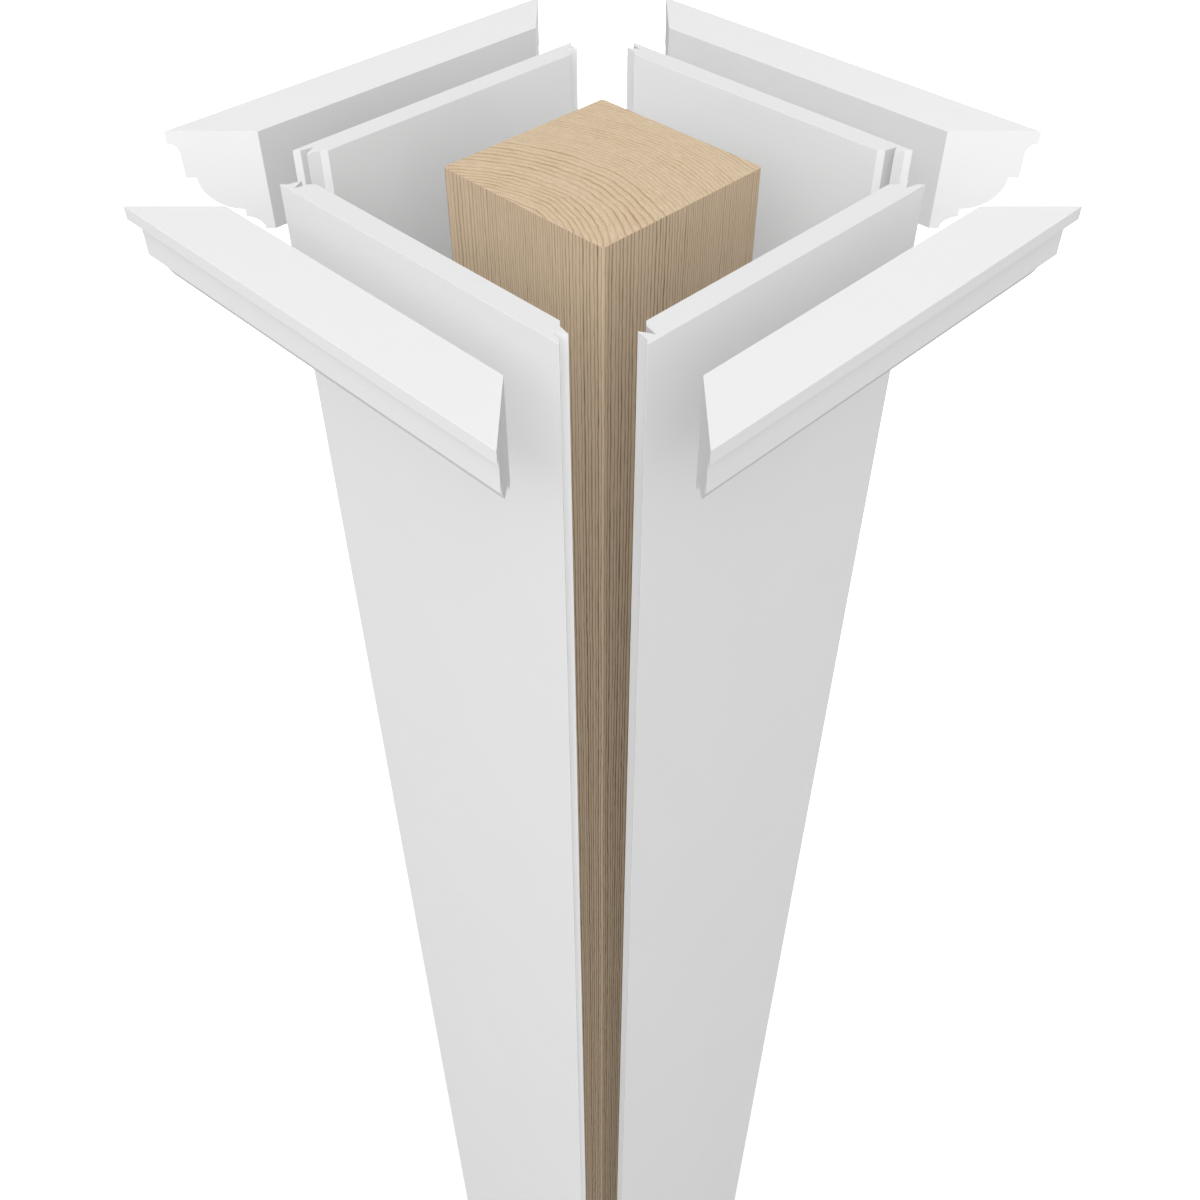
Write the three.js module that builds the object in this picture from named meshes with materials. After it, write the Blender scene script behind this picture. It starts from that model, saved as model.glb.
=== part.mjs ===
// Square porch column in nine pieces: a timber post, four wrap panels with lock-mitre edges,
// and a four-piece crown moulding. The pieces stand apart around the post, each one moved
// straight out from the place it takes when the column is closed up.
//
// Millimetres, +Z up. The origin is on the ground at the centre of the post.
// The front faces -Y, the right faces +X, the back faces +Y and the left faces -X.

import * as THREE from 'three';

const INCH = 25.4;

// Driving dimensions
const COLUMN_HEIGHT = 96 * INCH;
const POST_SIDE = 5.5 * INCH;
const POST_EDGE_RADIUS = 3;
const WRAP_SIDE = 9.625 * INCH;
const PANEL_THICKNESS = 0.625 * INCH;
const PANEL_STAND_OFF = 1.25 * INCH;
const CROWN_STAND_OFF = 2.75 * INCH;

// Crown profile: how far each member stands out from the back, and how far down it ends
const CROWN = {
  topFilletOut: 1.6875 * INCH,
  topFilletDown: 8.6,
  upperCoveStart: 42.0,
  fasciaOut: 37.7,
  upperCoveDown: 16.0,
  fasciaDown: 31.9,
  ovoloOut: 32.6,
  ovoloEnd: 13.0,
  ovoloDown: 54.2,
  lowerFilletDown: 59.7,
  footOut: 4.8,
  height: 2.6875 * INCH,
};

// Lock-mitre profile: places along the mitre, 0 at the outer corner and 1 at the inner one,
// and how far the tongue and groove reach out of the mitre, all as parts of its length
const MITRE_FLAT = 0.225;
const LOCK_NEAR = 0.435;
const LOCK_REACH = 0.21;

const CURVE_SEGMENTS = 8;
const POST_EDGE_SEGMENTS = 4;
const QUARTER_TURN = Math.PI / 2;
const SIDES = ['front', 'right', 'back', 'left'];

const timber = new THREE.MeshStandardMaterial({
  color: new THREE.Color(0.80, 0.66, 0.46),
  roughness: 0.75,
  metalness: 0,
});
const whitePvc = new THREE.MeshStandardMaterial({
  color: new THREE.Color(0.92, 0.92, 0.92),
  roughness: 0.45,
  metalness: 0,
});

function namedMesh(name, geometry, material) {
  const mesh = new THREE.Mesh(geometry, material);
  mesh.name = name;
  return mesh;
}

// Post: a sawn square with eased long edges
function postGeometry() {
  const half = POST_SIDE / 2;
  const inset = half - POST_EDGE_RADIUS;
  const corners = [[inset, inset], [-inset, inset], [-inset, -inset], [inset, -inset]];
  const outline = new THREE.Shape();
  corners.forEach(([x, y], i) => {
    const start = i * QUARTER_TURN;
    outline.absarc(x, y, POST_EDGE_RADIUS, start, start + QUARTER_TURN, false);
  });
  outline.closePath();
  return new THREE.ExtrudeGeometry(outline, {
    depth: COLUMN_HEIGHT,
    bevelEnabled: false,
    curveSegments: POST_EDGE_SEGMENTS,
  });
}

// One end of a panel, from the outer corner to the inner one.
// Each entry is the place along the mitre and the reach out of it. The left end, seen from
// outside, carries its tongue on the inner half, and the right end on the outer half, so
// that the right end of one panel locks into the left end of the next.
function lockProfile(isLeftEnd) {
  const inner = 1 - LOCK_NEAR;
  const first = isLeftEnd ? [inner, LOCK_REACH] : [inner, -LOCK_REACH];
  const second = isLeftEnd ? [LOCK_NEAR, -LOCK_REACH] : [LOCK_NEAR, LOCK_REACH];
  return [[0, 0], [MITRE_FLAT, 0], first, second, [1 - MITRE_FLAT, 0], [1, 0]];
}

// Wrap panel in its closed place: outer face at y = -half, wider outside than inside
function panelGeometry() {
  const half = WRAP_SIDE / 2;
  const t = PANEL_THICKNESS;
  const endPoints = (isLeftEnd) => lockProfile(isLeftEnd).map(([along, reach]) => {
    const x = half - (along - reach) * t;
    const y = -half + (along + reach) * t;
    return new THREE.Vector2(isLeftEnd ? -x : x, y);
  });
  const rightEnd = endPoints(false);
  const leftEnd = endPoints(true).reverse();
  return new THREE.ExtrudeGeometry(new THREE.Shape([...rightEnd, ...leftEnd]), {
    depth: COLUMN_HEIGHT,
    bevelEnabled: false,
  });
}

// Crown profile: x is the distance out from the back, y is the height, with the top at 0
function crownProfile() {
  const c = CROWN;
  const profile = new THREE.Shape();
  profile.moveTo(0, 0);
  profile.lineTo(0, -c.height);
  profile.lineTo(c.footOut, -c.height);
  const lowerCoveWide = c.ovoloEnd - c.footOut;
  const lowerCoveTall = c.height - c.lowerFilletDown;
  profile.absellipse(c.ovoloEnd, -c.height, lowerCoveWide, lowerCoveTall,
    Math.PI, QUARTER_TURN, true);
  profile.lineTo(c.ovoloEnd, -c.ovoloDown);
  const ovoloWide = c.ovoloOut - c.ovoloEnd;
  const ovoloTall = c.ovoloDown - c.fasciaDown;
  profile.absellipse(c.ovoloEnd, -c.fasciaDown, ovoloWide, ovoloTall, -QUARTER_TURN, 0, false);
  profile.lineTo(c.fasciaOut, -c.fasciaDown);
  profile.lineTo(c.fasciaOut, -c.upperCoveDown);
  const upperCoveWide = c.upperCoveStart - c.fasciaOut;
  const upperCoveTall = c.upperCoveDown - c.topFilletDown;
  profile.absellipse(c.upperCoveStart, -c.upperCoveDown, upperCoveWide, upperCoveTall,
    Math.PI, QUARTER_TURN, true);
  profile.lineTo(c.topFilletOut, -c.topFilletDown);
  profile.lineTo(c.topFilletOut, 0);
  profile.closePath();
  return profile;
}

// Crown length in its closed place against the wrap, cut to a 45 degree mitre at both ends:
// each point of the profile runs as far sideways as it stands out from the column's centre.
// The profile is first drawn out by 1, and its two ends are then moved to the two mitres.
function crownGeometry() {
  const half = WRAP_SIDE / 2;
  const geometry = new THREE.ExtrudeGeometry(crownProfile(), {
    depth: 1,
    bevelEnabled: false,
    curveSegments: CURVE_SEGMENTS,
  });
  const places = geometry.getAttribute('position');
  for (let i = 0; i < places.count; i += 1) {
    const reach = half + places.getX(i);
    const end = places.getZ(i) > 0 ? -1 : 1;
    places.setXYZ(i, end * reach, -reach, COLUMN_HEIGHT + places.getY(i));
  }
  geometry.computeVertexNormals();
  return geometry;
}

// A ring of four like pieces, each turned to its side and moved straight out from the post
function fourSides(prefix, geometry, standOff) {
  const ring = new THREE.Group();
  SIDES.forEach((side, i) => {
    const piece = namedMesh(`${prefix}_${side}`, geometry, whitePvc);
    piece.position.y = -standOff;
    const turned = new THREE.Group();
    turned.rotation.z = i * QUARTER_TURN;
    turned.add(piece);
    ring.add(turned);
  });
  return ring;
}

const column = new THREE.Group();
column.add(namedMesh('post', postGeometry(), timber));
column.add(fourSides('wrap_panel', panelGeometry(), PANEL_STAND_OFF));
column.add(fourSides('crown', crownGeometry(), CROWN_STAND_OFF));

export default column;
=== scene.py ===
# Square porch column with its pieces set apart: a timber post, four white wrap panels with
# lock-mitre edges, and four lengths of mitred crown moulding. Metres, +Z up. The front faces -Y.
import math

import bmesh
import bpy
from mathutils import Matrix, Vector


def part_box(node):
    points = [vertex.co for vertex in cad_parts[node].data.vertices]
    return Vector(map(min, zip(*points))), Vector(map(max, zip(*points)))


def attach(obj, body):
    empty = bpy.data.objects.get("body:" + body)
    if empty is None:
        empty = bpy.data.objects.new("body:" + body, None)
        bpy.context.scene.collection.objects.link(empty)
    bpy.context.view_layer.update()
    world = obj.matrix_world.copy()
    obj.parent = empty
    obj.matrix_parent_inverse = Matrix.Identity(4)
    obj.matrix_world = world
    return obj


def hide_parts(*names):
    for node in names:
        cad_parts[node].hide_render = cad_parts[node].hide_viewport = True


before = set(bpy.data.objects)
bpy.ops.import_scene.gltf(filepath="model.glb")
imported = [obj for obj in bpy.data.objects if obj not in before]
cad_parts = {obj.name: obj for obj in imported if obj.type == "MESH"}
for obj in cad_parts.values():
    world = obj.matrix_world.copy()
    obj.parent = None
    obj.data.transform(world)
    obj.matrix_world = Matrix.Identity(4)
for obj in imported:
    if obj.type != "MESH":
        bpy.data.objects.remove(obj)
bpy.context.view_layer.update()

MM = 0.001
SIDES = ("front", "right", "back", "left")

# Sizes taken from the frame: each front piece is measured, and the other three are turned copies
post_low, post_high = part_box("post")
panel_low, panel_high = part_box("wrap_panel_front")
crown_low, crown_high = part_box("crown_front")

COLUMN_HEIGHT = post_high.z
POST_SIDE = post_high.x - post_low.x
WRAP_HALF = panel_high.x
PANEL_THICKNESS = panel_high.y - panel_low.y
PANEL_FACE = panel_low.y
CROWN_OUT = crown_high.y - crown_low.y
CROWN_HEIGHT = crown_high.z - crown_low.z
CROWN_BACK = crown_high.y

# Lock-mitre profile, as parts of the mitre's length from the outer corner to the inner one
MITRE_FLAT = 0.225
LOCK_NEAR = 0.435
LOCK_REACH = 0.21

# Crown profile: how far each member stands out from the back, and how far down it ends
TOP_FILLET_DOWN = 8.6 * MM
UPPER_COVE_START = 42.0 * MM
FASCIA_OUT = 37.7 * MM
UPPER_COVE_DOWN = 16.0 * MM
FASCIA_DOWN = 31.9 * MM
OVOLO_OUT = 32.6 * MM
OVOLO_END = 13.0 * MM
OVOLO_DOWN = 54.2 * MM
LOWER_FILLET_DOWN = 59.7 * MM
FOOT_OUT = 4.8 * MM

# Finish of the edges. An outline's corner is eased if it turns by more than CORNER_TURN, and an
# edge looks sharp if its faces turn by more than SHARP_TURN.
POST_EDGE_RADIUS = 3.0 * MM
MILLED_EDGE_RADIUS = 0.15 * MM
SAWN_EDGE = 0.12 * MM
EASE_STEP = math.radians(20)
CORNER_TURN = math.radians(30)
SHARP_TURN = math.radians(25)
CURVE_STEPS = 24
SAWN_EDGE_STEPS = 2

# Which faces of the front pieces get painted shade, a greyer white for the shade that falls in
# them: a crown length's back looks squarely to +Y, and a panel's groove looks sideways and lies
# behind the mitre, by this part of the panel's thickness
SQUARELY_BACK = 0.99
SIDEWAYS = 0.1
BEHIND_MITRE = 0.1

# Camera, from the fit to the photograph
IMAGE_SIDE = 1200
SENSOR_WIDTH = 36.0
FOCAL_PIXELS = 1295.6
CAMERA_AZIMUTH = math.radians(45)
CAMERA_ELEVATION = math.radians(44.55)
CAMERA_DISTANCE = 1.0619
TARGET_DOWN = 0.3747
PICTURE_RIGHT_PIXELS = 2
CLIP_START = 0.05

# Light: an even white sky, two very large soft discs in front, a smaller one for the sides that
# face away from the camera, and two faint lamps without shadows that lift the deep gaps. For each
# disc: azimuth and elevation in degrees, size in metres and power. For each lamp: azimuth,
# elevation and strength.
LIGHT_DISTANCE = 10.0
SKY_STRENGTH = 0.45
SOFT_DISCS = {
    "key": (22.5, 50, 12.0, 459.0),
    "fill": (57.0, 30, 12.0, 296.0),
    "back": (205, -6, 4.0, 380.0),
}
LIFTING_LAMPS = {"lift_front": (0, 30, 0.314), "lift_corner": (45, 45, 1.052)}

# Floor and backdrop: the floor's glow grows between two distances from the column, which are
# given in millimetres, as the materials' places are
WHITE = (1, 1, 1, 1)
BLACK = (0, 0, 0, 1)
FLOOR_SIDE = 60.0
FLOOR_COLOUR = (0.90, 0.90, 0.90, 1)
FLOOR_ROUGHNESS = 0.9
FLOOR_GLOW = 0.16
FAR_FLOOR_GLOW = 0.75
GLOW_GROWS_FROM = 600
GLOW_GROWS_TO = 4000
BACKDROP_RADIUS = 30.0
BACKDROP_GLOW = 1.05


# Camera and light

def direction(azimuth, elevation):
    """Unit vector from the column towards a place round it. Azimuth 0 is in front, at -Y."""
    flat = math.cos(elevation)
    return Vector((math.sin(azimuth) * flat, -math.cos(azimuth) * flat, math.sin(elevation)))


def aimed(thing, place, target):
    """Places a camera or a light and turns it to look at the target."""
    thing.location = place
    thing.rotation_mode = "QUATERNION"
    thing.rotation_quaternion = (target - place).to_track_quat("-Z", "Y")
    bpy.context.scene.collection.objects.link(thing)
    return thing


def add_camera():
    data = bpy.data.cameras.new("camera")
    data.sensor_width = SENSOR_WIDTH
    data.lens = SENSOR_WIDTH * FOCAL_PIXELS / IMAGE_SIDE
    data.clip_start = CLIP_START
    data.clip_end = 3 * BACKDROP_RADIUS
    back = direction(CAMERA_AZIMUTH, CAMERA_ELEVATION)
    right = Vector((math.cos(CAMERA_AZIMUTH), math.sin(CAMERA_AZIMUTH), 0))
    metres_a_pixel = CAMERA_DISTANCE / FOCAL_PIXELS
    target = Vector((0, 0, COLUMN_HEIGHT - TARGET_DOWN))
    target -= right * PICTURE_RIGHT_PIXELS * metres_a_pixel
    camera = bpy.data.objects.new("camera", data)
    bpy.context.scene.camera = aimed(camera, target + back * CAMERA_DISTANCE, target)


def add_light(name, kind, azimuth, elevation, power):
    data = bpy.data.lights.new(name, kind)
    data.energy = power
    target = Vector((0, 0, COLUMN_HEIGHT))
    place = target + direction(math.radians(azimuth), math.radians(elevation)) * LIGHT_DISTANCE
    light = aimed(bpy.data.objects.new(name, data), place, target)
    light.visible_camera = False
    return data


def add_lights():
    for name, (azimuth, elevation, size, power) in SOFT_DISCS.items():
        disc = add_light(name, "AREA", azimuth, elevation, power)
        disc.shape = "DISK"
        disc.size = size
    for name, (azimuth, elevation, strength) in LIFTING_LAMPS.items():
        add_light(name, "SUN", azimuth, elevation, strength).use_shadow = False


def add_sky():
    world = bpy.data.worlds.new("sky")
    world.use_nodes = True
    background = world.node_tree.nodes["Background"]
    background.inputs["Color"].default_value = WHITE
    background.inputs["Strength"].default_value = SKY_STRENGTH
    bpy.context.scene.world = world


# Meshes

def eased(outline, radius):
    """The outline with its outer corners rounded. It runs anticlockwise."""
    rounded = []
    count = len(outline)
    for i, corner in enumerate(outline):
        arriving = (corner - outline[i - 1]).normalized()
        leaving = (outline[(i + 1) % count] - corner).normalized()
        turn = math.atan2(arriving.cross(leaving), arriving.dot(leaving))
        if turn < CORNER_TURN:
            rounded.append(corner)
            continue
        start = corner - arriving * radius * math.tan(turn / 2)
        centre = start + Vector((-arriving.y, arriving.x)) * radius
        steps = math.ceil(turn / EASE_STEP)
        for step in range(steps + 1):
            rounded.append(centre + Matrix.Rotation(turn * step / steps, 2) @ (start - centre))
    return rounded


def inset(outline, distance):
    """The outline with every point moved inwards, so that each edge moves by the distance."""
    moved = []
    count = len(outline)
    for i, corner in enumerate(outline):
        arriving = (corner - outline[i - 1]).normalized()
        leaving = (outline[(i + 1) % count] - corner).normalized()
        inward = Vector((-arriving.y, arriving.x)) + Vector((-leaving.y, leaving.x))
        moved.append(corner + inward * distance / (1 + arriving.dot(leaving)))
    return moved


def lofted(name, outline, place_start, place_end):
    """Closed piece drawn from a start to an end, both with a fine eased edge round their saw cut.
    place_start and place_end turn a point of the outline, and how far it lies from the saw cut,
    into a point of the piece."""
    angles = [math.pi / 2 * step / SAWN_EDGE_STEPS for step in range(SAWN_EDGE_STEPS + 1)]
    easing = [(SAWN_EDGE * (1 - math.sin(a)), SAWN_EDGE * (1 - math.cos(a))) for a in angles]
    rings = [[place_start(p, down) for p in inset(outline, round_in)] for round_in, down in easing]
    easing.reverse()
    rings += [[place_end(p, down) for p in inset(outline, round_in)] for round_in, down in easing]
    shape = bmesh.new()
    rows = [[shape.verts.new(point) for point in ring] for ring in rings]
    for row, above in zip(rows, rows[1:]):
        for i in range(len(outline)):
            shape.faces.new((row[i - 1], row[i], above[i], above[i - 1]))
    cuts = [shape.faces.new(rows[0][::-1]), shape.faces.new(rows[-1])]
    for cut in cuts:
        cut.material_index = 1
    bmesh.ops.recalc_face_normals(shape, faces=shape.faces)
    bmesh.ops.triangulate(shape, faces=cuts)
    mesh = bpy.data.meshes.new(name)
    shape.to_mesh(mesh)
    shape.free()
    mesh.shade_smooth()
    mesh.set_sharp_from_angle(angle=SHARP_TURN)
    return mesh


def upright(name, outline):
    """A piece with the same outline from the ground to the top."""
    return lofted(
        name, outline,
        lambda p, down: (p.x, p.y, down),
        lambda p, down: (p.x, p.y, COLUMN_HEIGHT - down))


def with_painted_shade(mesh, has_it):
    """Gives the faces that has_it picks the third material, which is painted shade. The saw cuts
    have the second.
    """
    for face in mesh.polygons:
        if has_it(face):
            face.material_index = 2
    return mesh


def post_mesh():
    half = POST_SIDE / 2
    corners = [Vector(p) * half for p in ((-1, -1), (1, -1), (1, 1), (-1, 1))]
    return upright("timber_post", eased(corners, POST_EDGE_RADIUS))


def lock_profile(is_left_end):
    """One end of a panel, as places along the mitre and reaches out of it."""
    inner = 1 - LOCK_NEAR
    first = (inner, LOCK_REACH if is_left_end else -LOCK_REACH)
    second = (LOCK_NEAR, -LOCK_REACH if is_left_end else LOCK_REACH)
    return [(0, 0), (MITRE_FLAT, 0), first, second, (1 - MITRE_FLAT, 0), (1, 0)]


def panel_mesh():
    def end_points(is_left_end):
        side = -1 if is_left_end else 1
        return [Vector((side * (WRAP_HALF - (along - reach) * PANEL_THICKNESS),
                        PANEL_FACE + (along + reach) * PANEL_THICKNESS))
                for along, reach in lock_profile(is_left_end)]

    # Painted shade: the groove's faces get the greyer white, for the shade that falls in them
    def in_groove(face):
        past_mitre = abs(face.center.x) - WRAP_HALF + face.center.y - PANEL_FACE
        behind = past_mitre < -BEHIND_MITRE * PANEL_THICKNESS
        return behind and abs(face.normal.x) > SIDEWAYS

    outline = end_points(False) + end_points(True)[::-1]
    return with_painted_shade(upright("wrap_panel", eased(outline, MILLED_EDGE_RADIUS)), in_groove)


def quarter(centre, wide, tall, start, end):
    """Quarter of an ellipse from the start angle to the end angle, in degrees."""
    points = []
    for step in range(CURVE_STEPS + 1):
        angle = math.radians(start + (end - start) * step / CURVE_STEPS)
        out = centre[0] + wide * math.cos(angle)
        up = centre[1] + tall * math.sin(angle)
        points.append(Vector((out, up)))
    return points


def crown_profile():
    """Each point is the distance out from the back, and the height, with the top at 0."""
    def corner(out, down):
        return [Vector((out, -down))]

    profile = corner(0, 0) + corner(0, CROWN_HEIGHT)
    profile += quarter((OVOLO_END, -CROWN_HEIGHT), OVOLO_END - FOOT_OUT,
                       CROWN_HEIGHT - LOWER_FILLET_DOWN, 180, 90)
    profile += quarter((OVOLO_END, -FASCIA_DOWN), OVOLO_OUT - OVOLO_END,
                       OVOLO_DOWN - FASCIA_DOWN, -90, 0)
    profile += corner(FASCIA_OUT, FASCIA_DOWN)
    profile += quarter((UPPER_COVE_START, -UPPER_COVE_DOWN), UPPER_COVE_START - FASCIA_OUT,
                       UPPER_COVE_DOWN - TOP_FILLET_DOWN, 180, 90)
    profile += corner(CROWN_OUT, TOP_FILLET_DOWN) + corner(CROWN_OUT, 0)
    return profile


def crown_mesh():
    """The mitres: a point runs as far sideways as it stands out from the closed column."""
    def mitred(end):
        def place(p, down):
            return end * (WRAP_HALF + p.x - down), CROWN_BACK - p.x, COLUMN_HEIGHT + p.y
        return place

    mesh = lofted("crown", eased(crown_profile(), MILLED_EDGE_RADIUS), mitred(-1), mitred(1))
    # Painted shade: the crown's back gets the greyer white, for the shade between it and the panel
    return with_painted_shade(mesh, lambda face: face.normal.y > SQUARELY_BACK)


# Materials: places and scales in them are in millimetres

# Nearly all of a noise lies between these two
NOISE_RANGE = (0.3, 0.7)


def new_material(name, **constants):
    """A material, with constants set on its shader's own sockets."""
    material = bpy.data.materials.new(name)
    material.use_nodes = True
    shader = material.node_tree.nodes["Principled BSDF"]
    for socket, value in constants.items():
        shader.inputs[socket.replace("_", " ")].default_value = value
    return material, shader


class Recipe:
    """Adds nodes to a material, one call for each node, and hands on their output sockets."""

    def __init__(self, material):
        self.nodes = material.node_tree.nodes
        self.links = material.node_tree.links
        place = self.nodes.new("ShaderNodeTexCoord").outputs["Object"]
        self.place = self.vector("SCALE", place, scale=1 / MM)
        split = self.nodes.new("ShaderNodeSeparateXYZ")
        self.links.new(self.place, split.inputs[0])
        self.x, self.y, self.z = split.outputs

    def feed(self, socket, value):
        if isinstance(value, bpy.types.NodeSocket):
            self.links.new(value, socket)
        else:
            socket.default_value = value

    def vector(self, operation, *values, scale=None):
        node = self.nodes.new("ShaderNodeVectorMath")
        node.operation = operation
        for socket, value in zip(node.inputs, values):
            self.feed(socket, value)
        if scale is not None:
            self.feed(node.inputs["Scale"], scale)
        return node.outputs["Value" if operation == "LENGTH" else "Vector"]

    def math(self, operation, *values):
        node = self.nodes.new("ShaderNodeMath")
        node.operation = operation
        for socket, value in zip(node.inputs, values):
            self.feed(socket, value)
        return node.outputs[0]

    def joined(self, x=0.0, y=0.0, z=0.0):
        node = self.nodes.new("ShaderNodeCombineXYZ")
        for socket, value in zip(node.inputs, (x, y, z)):
            self.feed(socket, value)
        return node.outputs[0]

    def noise(self, place, scale, detail=2.0, roughness=0.5):
        """Noise from 0 to 1, with patches about 1 / scale millimetres across."""
        node = self.nodes.new("ShaderNodeTexNoise")
        self.feed(node.inputs["Vector"], place)
        node.inputs["Scale"].default_value = scale
        node.inputs["Detail"].default_value = detail
        node.inputs["Roughness"].default_value = roughness
        return node.outputs["Fac"]

    def chance(self, number):
        """A random value for each whole number."""
        node = self.nodes.new("ShaderNodeTexWhiteNoise")
        node.noise_dimensions = "1D"
        self.feed(node.inputs["W"], number)
        return node.outputs["Value"]

    def spread(self, value, low, high, start=0.0, end=1.0):
        """Takes start..end to low..high, and stays at low or high beyond them."""
        node = self.nodes.new("ShaderNodeMapRange")
        for socket, number in zip(node.inputs, (value, start, end, low, high)):
            self.feed(socket, number)
        return node.outputs[0]

    def drift(self, place, scale, reach, detail=1.0):
        """Noise that moves a value up and down, by up to about the reach."""
        return self.spread(self.noise(place, scale, detail=detail), -reach, reach)

    def uneven(self, place, scale, strength, detail=3.0, roughness=0.5):
        """Noise that varies round 1, by up to about the strength."""
        noise = self.noise(place, scale, detail, roughness)
        return self.spread(noise, 1 - strength, 1 + strength)

    def patchy(self, place, scale, low, high):
        """Noise whose patches go all the way from low to high."""
        return self.spread(self.noise(place, scale), low, high, *NOISE_RANGE)

    def product(self, first, *others):
        for other in others:
            first = self.math("MULTIPLY", first, other)
        return first

    def ramp(self, value, stops):
        """A grey that runs straight between (place, brightness) stops."""
        node = self.nodes.new("ShaderNodeValToRGB")
        self.feed(node.inputs[0], value)
        elements = node.color_ramp.elements
        while len(elements) < len(stops):
            elements.new(0.5)
        for element, (place, brightness) in zip(elements, stops):
            element.position = place
            element.color = (brightness, brightness, brightness, 1)
        return node.outputs["Color"]

    def mix(self, amount, first, second):
        node = self.nodes.new("ShaderNodeMix")
        node.data_type = "RGBA"
        self.feed(node.inputs["Factor"], amount)
        self.feed(node.inputs[6], first)
        self.feed(node.inputs[7], second)
        return node.outputs[2]

    def grey_in_bounces(self, colour):
        """The colour, or its grey where light bounces off it onto the next piece."""
        grey = self.nodes.new("ShaderNodeRGBToBW")
        self.feed(grey.inputs[0], colour)
        path = self.nodes.new("ShaderNodeLightPath")
        return self.mix(path.outputs["Is Diffuse Ray"], colour, grey.outputs[0])

    def tinted(self, colour, brightness):
        """A colour times a brightness near 1."""
        return self.vector("SCALE", colour, scale=brightness)

    def bump(self, height, depth):
        node = self.nodes.new("ShaderNodeBump")
        node.inputs["Strength"].default_value = 1.0
        node.inputs["Distance"].default_value = depth
        self.feed(node.inputs["Height"], height)
        return node.outputs[0]

    def curve(self, place, points):
        """A value that runs straight between (place, value) points."""
        start, end = points[0][0], points[-1][0]
        highest = max(value for _, value in points)
        node = self.nodes.new("ShaderNodeFloatCurve")
        curve = node.mapping.curves[0]
        while len(curve.points) < len(points):
            curve.points.new(0.5, 0.5)
        for point, (at, value) in zip(curve.points, points):
            point.location = ((at - start) / (end - start), value / highest)
            point.handle_type = "VECTOR"
        node.mapping.update()
        self.feed(node.inputs["Value"], self.spread(place, 0.0, 1.0, start, end))
        return self.math("MULTIPLY", node.outputs[0], highest)

    def line_count(self, place, spacings):
        """How many grain lines lie before a place, for (place, spacing) pairs in millimetres."""
        counts = [(spacings[0][0], 0.0)]
        for (near, gap), (far, next_gap) in zip(spacings, spacings[1:]):
            counts.append((far, counts[-1][1] + (far - near) * 2 / (gap + next_gap)))
        return self.curve(place, counts)


# Finishes of the white PVC: how white and how rough each is, and the scale and the depth of its
# grain. The grooves and the crown's backs are given a greyer white as painted shade, for the shade
# that falls in them. The clouds in the white are given as scale and strength.
PVC_FINISHES_AND_SHADE = {
    "skin": (0.80, 0.42, 1.1, 0.02 * MM),
    "sawn_end": (0.745, 0.60, 2.4, 0.03 * MM),
    # Painted shade: the grooves' white is darkened to stand for the shade that falls in them
    "groove": (0.60, 0.60, 2.4, 0.03 * MM),
    "mitre_cut": (0.81, 0.60, 2.4, 0.03 * MM),
    # Painted shade: the crown's back is darkened to stand for the shade between it and the panel
    "painted_shade_back": (0.665, 0.55, 1.6, 0.03 * MM),
}
PVC_CLOUDS = (0.012, 0.015)
SMOOTH_PATCH_SCALE = 0.06
SMOOTH_PATCH_STRENGTH = 0.06


def pvc_material(finish_or_shade):
    """White cellular PVC: faint cloudiness in the white, and a fine grain in the surface."""
    white, roughness, grain_scale, grain_depth = PVC_FINISHES_AND_SHADE[finish_or_shade]
    material, shader = new_material(f"pvc_{finish_or_shade}", Roughness=roughness)
    recipe = Recipe(material)
    clouds = recipe.uneven(recipe.place, *PVC_CLOUDS)
    # For the groove and the crown's back this white is darker, as painted shade
    recipe.feed(shader.inputs["Base Color"], recipe.tinted((white, white, white), clouds))
    patches = recipe.noise(recipe.place, SMOOTH_PATCH_SCALE, detail=3)
    smoothest = roughness - SMOOTH_PATCH_STRENGTH
    roughest = roughness + SMOOTH_PATCH_STRENGTH
    recipe.feed(shader.inputs["Roughness"], recipe.spread(patches, smoothest, roughest))
    grain = recipe.noise(recipe.place, grain_scale, detail=2)
    recipe.feed(shader.inputs["Normal"], recipe.bump(grain, grain_depth))
    return material


# Timber: the depth of its fine grain in metres, and how drawn out its fibres and streaks are
TIMBER_GRAIN_DEPTH = 0.05 * MM
DRAWN_OUT = 0.15

# End grain: the pith lies outside the post, in front of its front face. Spacings and strengths of
# the rings are given for distances from it. A ring's shape is its darkness from its start to its
# end. Sway, wander, streaks and pores are given as scale and strength, and patches as scale and
# range.
PITH = (2.5, -139.6)
RING_SPACINGS = ((60, 3.2), (70, 3.4), (95, 3.7), (100, 4.7), (132, 4.7), (140, 3.2), (240, 3.0))
RING_STRENGTHS = ((60, 0.85), (90, 1.0), (135, 1.0), (150, 0.85), (180, 0.8), (240, 0.75))
RING_SHAPE = (
    (0.0, 0.06), (0.45, 0.12), (0.66, 0.50), (0.76, 0.95),
    (0.84, 0.50), (0.92, 0.10), (1.0, 0.06))
RING_SWAY = (0.03, 2.5)
RING_WANDER = (0.12, 0.6)
RING_PATCHES = (0.05, 0.6, 1.3)
FAINTEST_RING = 0.4
STRONGEST_RING = 1.1
STREAKS = (0.8, 0.22)
PORES = (0.8, 0.18)
END_GRAIN_SCALE = 1.6
END_ROUGHNESS = 0.75
END_LIGHT = (0.625, 0.493, 0.338, 1)
END_DARK = (0.385, 0.228, 0.105, 1)


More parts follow.
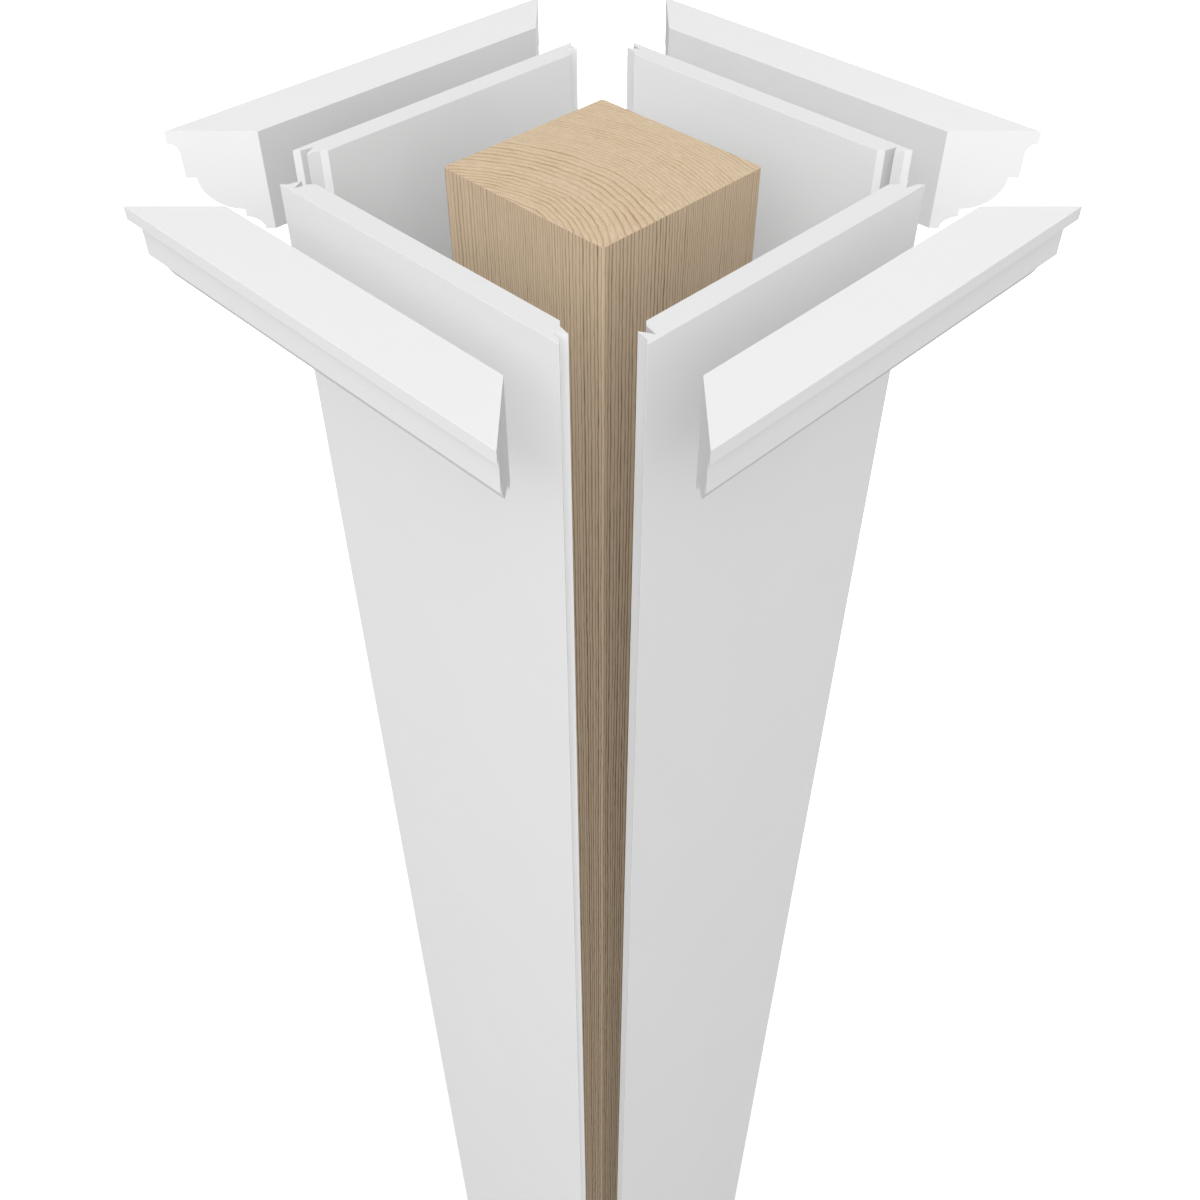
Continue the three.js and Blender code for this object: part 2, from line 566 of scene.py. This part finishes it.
def end_grain_material():
    material, shader = new_material("timber_end_grain", Roughness=END_ROUGHNESS)
    recipe = Recipe(material)
    from_pith = recipe.vector("SUBTRACT", recipe.joined(recipe.x, recipe.y), (*PITH, 0))
    radius = recipe.vector("LENGTH", from_pith)
    sway = recipe.drift(recipe.place, *RING_SWAY, detail=2)
    wander = recipe.drift(recipe.place, *RING_WANDER)
    radius = recipe.math("ADD", recipe.math("ADD", radius, sway), wander)
    count = recipe.line_count(radius, RING_SPACINGS)
    line = recipe.ramp(recipe.math("FRACT", count), RING_SHAPE)
    chance = recipe.chance(recipe.math("FLOOR", count))
    chance = recipe.spread(chance, FAINTEST_RING, STRONGEST_RING)
    patches = recipe.patchy(recipe.place, *RING_PATCHES)
    darkness = recipe.product(line, recipe.curve(radius, RING_STRENGTHS), chance, patches)
    colour = recipe.mix(darkness, END_LIGHT, END_DARK)
    along = recipe.joined(radius, recipe.math("MULTIPLY", recipe.x, DRAWN_OUT))
    streaks = recipe.drift(along, *STREAKS, detail=3)
    brightness = recipe.math("ADD", streaks, recipe.uneven(recipe.place, *PORES))
    colour = recipe.grey_in_bounces(recipe.tinted(colour, brightness))
    recipe.feed(shader.inputs["Base Color"], colour)
    grain = recipe.noise(recipe.place, END_GRAIN_SCALE, detail=3)
    recipe.feed(shader.inputs["Normal"], recipe.bump(grain, TIMBER_GRAIN_DEPTH))
    return material


# Side grain: places run round the post, as x + y, so that the lines meet at the corners. From the
# top down to LINES_GROW_DOWN, the lines get stronger, up to LOW_LINES times. Sway, wander, uneven
# gaps and fibres are given as scale and strength, and patches as scale and range.
LINE_SPACINGS = (
    (-150, 3.6), (-112, 3.4), (-98, 2.0), (-42, 1.9), (-30, 2.8),
    (0, 3.1), (40, 3.0), (60, 2.6), (74, 1.9), (150, 1.9))
LINE_STRENGTHS = (
    (-150, 0.7), (-112, 0.75), (-98, 0.8), (-44, 0.8), (-30, 0.9),
    (30, 1.0), (58, 1.0), (80, 0.8), (150, 0.65))
LINE_SHAPE = (
    (0.0, 0.0), (0.42, 0.06), (0.55, 0.55), (0.63, 1.0),
    (0.72, 0.55), (0.84, 0.06), (1.0, 0.0))
LINES_GROW_DOWN = 400
LOW_LINES = 1.75
LINE_SWAY = (0.03, 1.5)
LINE_WANDER = (0.30, 0.9)
UNEVEN_GAPS = (0.22, 0.45)
LINE_PATCHES = (0.25, 0.75, 1.15)
FAINTEST_LINE = 0.6
STRONGEST_LINE = 1.0
FIBRES = (0.8, 0.22)
FIBRE_HARSHNESS = 0.7
SIDE_GRAIN_SCALE = 1.5
SIDE_ROUGHNESS = 0.7
SIDE_LIGHT = (0.590, 0.453, 0.309, 1)
SIDE_DARK = (0.155, 0.092, 0.050, 1)


def side_grain_material():
    material, shader = new_material("timber_side_grain", Roughness=SIDE_ROUGHNESS)
    recipe = Recipe(material)
    across = recipe.math("ADD", recipe.x, recipe.y)
    sheet = recipe.joined(across, 0.0, recipe.math("MULTIPLY", recipe.z, DRAWN_OUT))
    sway = recipe.drift(sheet, *LINE_SWAY)
    wander = recipe.drift(sheet, *LINE_WANDER)
    place = recipe.math("ADD", recipe.math("ADD", across, sway), wander)
    count = recipe.line_count(place, LINE_SPACINGS)
    count = recipe.math("ADD", count, recipe.drift(recipe.joined(place), *UNEVEN_GAPS))
    line = recipe.ramp(recipe.math("FRACT", count), LINE_SHAPE)
    chance = recipe.chance(recipe.math("FLOOR", count))
    chance = recipe.spread(chance, FAINTEST_LINE, STRONGEST_LINE)
    patches = recipe.patchy(sheet, *LINE_PATCHES)
    top = COLUMN_HEIGHT / MM
    growth = recipe.spread(recipe.z, LOW_LINES, 1.0, top - LINES_GROW_DOWN, top)
    strength = recipe.curve(across, LINE_STRENGTHS)
    darkness = recipe.product(line, strength, chance, patches, growth)
    colour = recipe.mix(darkness, SIDE_LIGHT, SIDE_DARK)
    fibres = recipe.uneven(sheet, *FIBRES, roughness=FIBRE_HARSHNESS)
    colour = recipe.grey_in_bounces(recipe.tinted(colour, fibres))
    recipe.feed(shader.inputs["Base Color"], colour)
    grain = recipe.noise(sheet, SIDE_GRAIN_SCALE, detail=3)
    recipe.feed(shader.inputs["Normal"], recipe.bump(grain, TIMBER_GRAIN_DEPTH))
    return material


# Pieces, floor and backdrop

def add_piece(name, mesh, materials, node):
    piece = bpy.data.objects.new(name, mesh)
    bpy.context.scene.collection.objects.link(piece)
    for material in materials:
        mesh.materials.append(material)
    normals = piece.modifiers.new("even_faces", "WEIGHTED_NORMAL")
    normals.keep_sharp = True
    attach(piece, "root")
    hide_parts(node)


def add_ring(prefix, front_mesh, materials):
    """Four like pieces, the front one and its copies turned to the other sides."""
    for quarter_turns, side in enumerate(SIDES):
        mesh = front_mesh.copy()
        mesh.transform(Matrix.Rotation(quarter_turns * math.pi / 2, 4, "Z"))
        add_piece(f"{prefix}_{side}_pvc", mesh, materials, f"{prefix}_{side}")


def add_floor():
    """A white floor that glows more further out, so that no horizon shows."""
    bpy.ops.mesh.primitive_plane_add(size=FLOOR_SIDE)
    floor = bpy.context.object
    floor.name = "floor"
    material, shader = new_material(
        "floor", Base_Color=FLOOR_COLOUR, Roughness=FLOOR_ROUGHNESS, Emission_Color=WHITE)
    recipe = Recipe(material)
    away = recipe.vector("LENGTH", recipe.place)
    glow = recipe.spread(away, FLOOR_GLOW, FAR_FLOOR_GLOW, GLOW_GROWS_FROM, GLOW_GROWS_TO)
    recipe.feed(shader.inputs["Emission Strength"], glow)
    floor.data.materials.append(material)
    floor.visible_diffuse = False
    floor.visible_glossy = False


def add_backdrop():
    """A white dome that only the camera sees."""
    bpy.ops.mesh.primitive_uv_sphere_add(segments=64, ring_count=32, radius=BACKDROP_RADIUS)
    dome = bpy.context.object
    dome.name = "backdrop"
    material, _ = new_material(
        "backdrop", Base_Color=BLACK, Emission_Color=WHITE, Emission_Strength=BACKDROP_GLOW)
    dome.data.materials.append(material)
    dome.visible_diffuse = False
    dome.visible_glossy = False
    dome.visible_transmission = False
    dome.visible_shadow = False


# The scene

bpy.context.scene.view_settings.view_transform = "Standard"
add_camera()
add_lights()
add_sky()
add_floor()
add_backdrop()
timber = [side_grain_material(), end_grain_material()]
pvc = {finish_or_shade: pvc_material(finish_or_shade) for finish_or_shade in PVC_FINISHES_AND_SHADE}
add_piece("post_timber", post_mesh(), timber, "post")
# Third materials below are painted shade: greyer white in the grooves and on the crowns' backs
add_ring("wrap_panel", panel_mesh(), [pvc["skin"], pvc["sawn_end"], pvc["groove"]])
add_ring("crown", crown_mesh(), [pvc["skin"], pvc["mitre_cut"], pvc["painted_shade_back"]])
